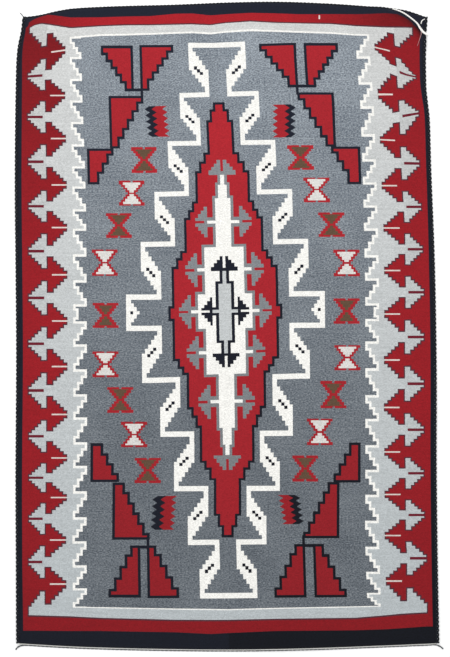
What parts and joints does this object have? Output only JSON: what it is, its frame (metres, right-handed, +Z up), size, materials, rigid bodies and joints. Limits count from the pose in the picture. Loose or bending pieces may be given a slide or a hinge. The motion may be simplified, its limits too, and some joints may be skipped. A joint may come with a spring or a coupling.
{
  "type": "navajo rug",
  "caption": "Flat handwoven wool rug with stepped geometric pattern, twisted selvage cords on all four edges and loose yarn ends at its corners.",
  "frame": {"origin": "middle of the rug's footprint, on the floor that it lies on", "axes": "+X across the rug, +Y along its length towards the end with the drawn-in corners, +Z up through the cloth"},
  "size_m": [1.2458, 1.886, 0.014],
  "materials": {
    "patterned_wool": "matte tapestry weave of red, black, white, brown and heathered grey wool",
    "black_wool": "matte twisted wool cord",
    "grey_wool": "matte twisted wool cord",
    "cream_wool": "matte loose wool yarn"
  },
  "bodies": {
    "root": {"rug_body": "patterned_wool", "side_cord_left": "black_wool", "side_cord_right": "black_wool", "end_cord_top": "black_wool", "end_cord_bottom": "grey_wool", "yarn_end_top_left": "grey_wool", "yarn_curl_top_right": "cream_wool", "yarn_over_fold": "cream_wool"}
  },
  "joints": []
}
